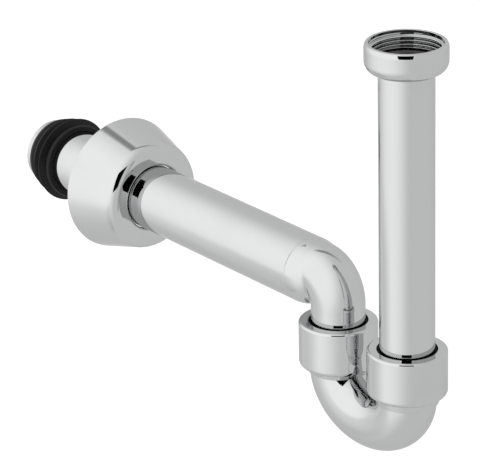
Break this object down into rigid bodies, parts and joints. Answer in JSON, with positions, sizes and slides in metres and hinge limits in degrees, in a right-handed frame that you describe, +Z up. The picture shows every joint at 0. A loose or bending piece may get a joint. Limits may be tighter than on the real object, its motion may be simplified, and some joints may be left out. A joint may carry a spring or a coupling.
{
  "type": "basin u trap",
  "caption": "Chromed tubular basin trap: union nut on a straight inlet tube, U-bend held by clamp nuts, reducing elbow, wall pipe with bell rosette and rubber seal.",
  "frame": {"origin": "on the inlet axis, at the start of the union nut's thread", "axes": "+Z up along the inlet, out of the nut's mouth; -X from the inlet leg to the outlet leg and along the wall pipe"},
  "size_m": [0.3747, 0.0834, 0.2554],
  "materials": {
    "chrome": "bright chrome plate on brass",
    "rubber": "black moulded rubber, semi-matt",
    "nylon": "black nylon",
    "fibre": "dark grey flat rubber washer"
  },
  "bodies": {
    "union_nut": {"inlet_nut": "chrome"},
    "inlet_pipe": {"inlet_tube": "chrome", "inlet_washer": "fibre"},
    "bend": {"u_bend": "chrome", "inlet_socket": "chrome", "outlet_socket": "chrome", "inlet_slip_ring": "nylon", "outlet_slip_ring": "nylon", "inlet_cone_seal": "rubber", "outlet_cone_seal": "rubber"},
    "inlet_clamp": {"inlet_clamp_nut": "chrome"},
    "outlet_clamp": {"outlet_clamp_nut": "chrome"},
    "wall_pipe": {"outlet_elbow": "chrome", "outlet_tube": "chrome", "wall_seal": "rubber"},
    "rosette": {"wall_rosette": "chrome"}
  },
  "joints": [
    {"name": "inlet_swivel", "type": "hinge", "parent": "union_nut", "child": "inlet_pipe", "pos_m": [0, 0, 0], "axis": [0, 0, 1], "continuous": true},
    {"name": "height_slide", "type": "slide", "parent": "inlet_pipe", "child": "bend", "axis": [0, 0, 1], "range_m": [-0.01, 0.008]},
    {"name": "inlet_clamp_turn", "type": "hinge", "parent": "bend", "child": "inlet_clamp", "pos_m": [0, 0, -0.19], "axis": [0, 0, 1], "continuous": true},
    {"name": "outlet_clamp_turn", "type": "hinge", "parent": "bend", "child": "outlet_clamp", "pos_m": [-0.062, 0, -0.19], "axis": [0, 0, 1], "continuous": true},
    {"name": "outlet_swivel", "type": "hinge", "parent": "bend", "child": "wall_pipe", "pos_m": [-0.062, 0, -0.19], "axis": [0, 0, 1], "range_deg": [-140, 140]},
    {"name": "rosette_slide", "type": "slide", "parent": "wall_pipe", "child": "rosette", "axis": [1, 0, 0], "range_m": [-0.07, 0.09]}
  ]
}
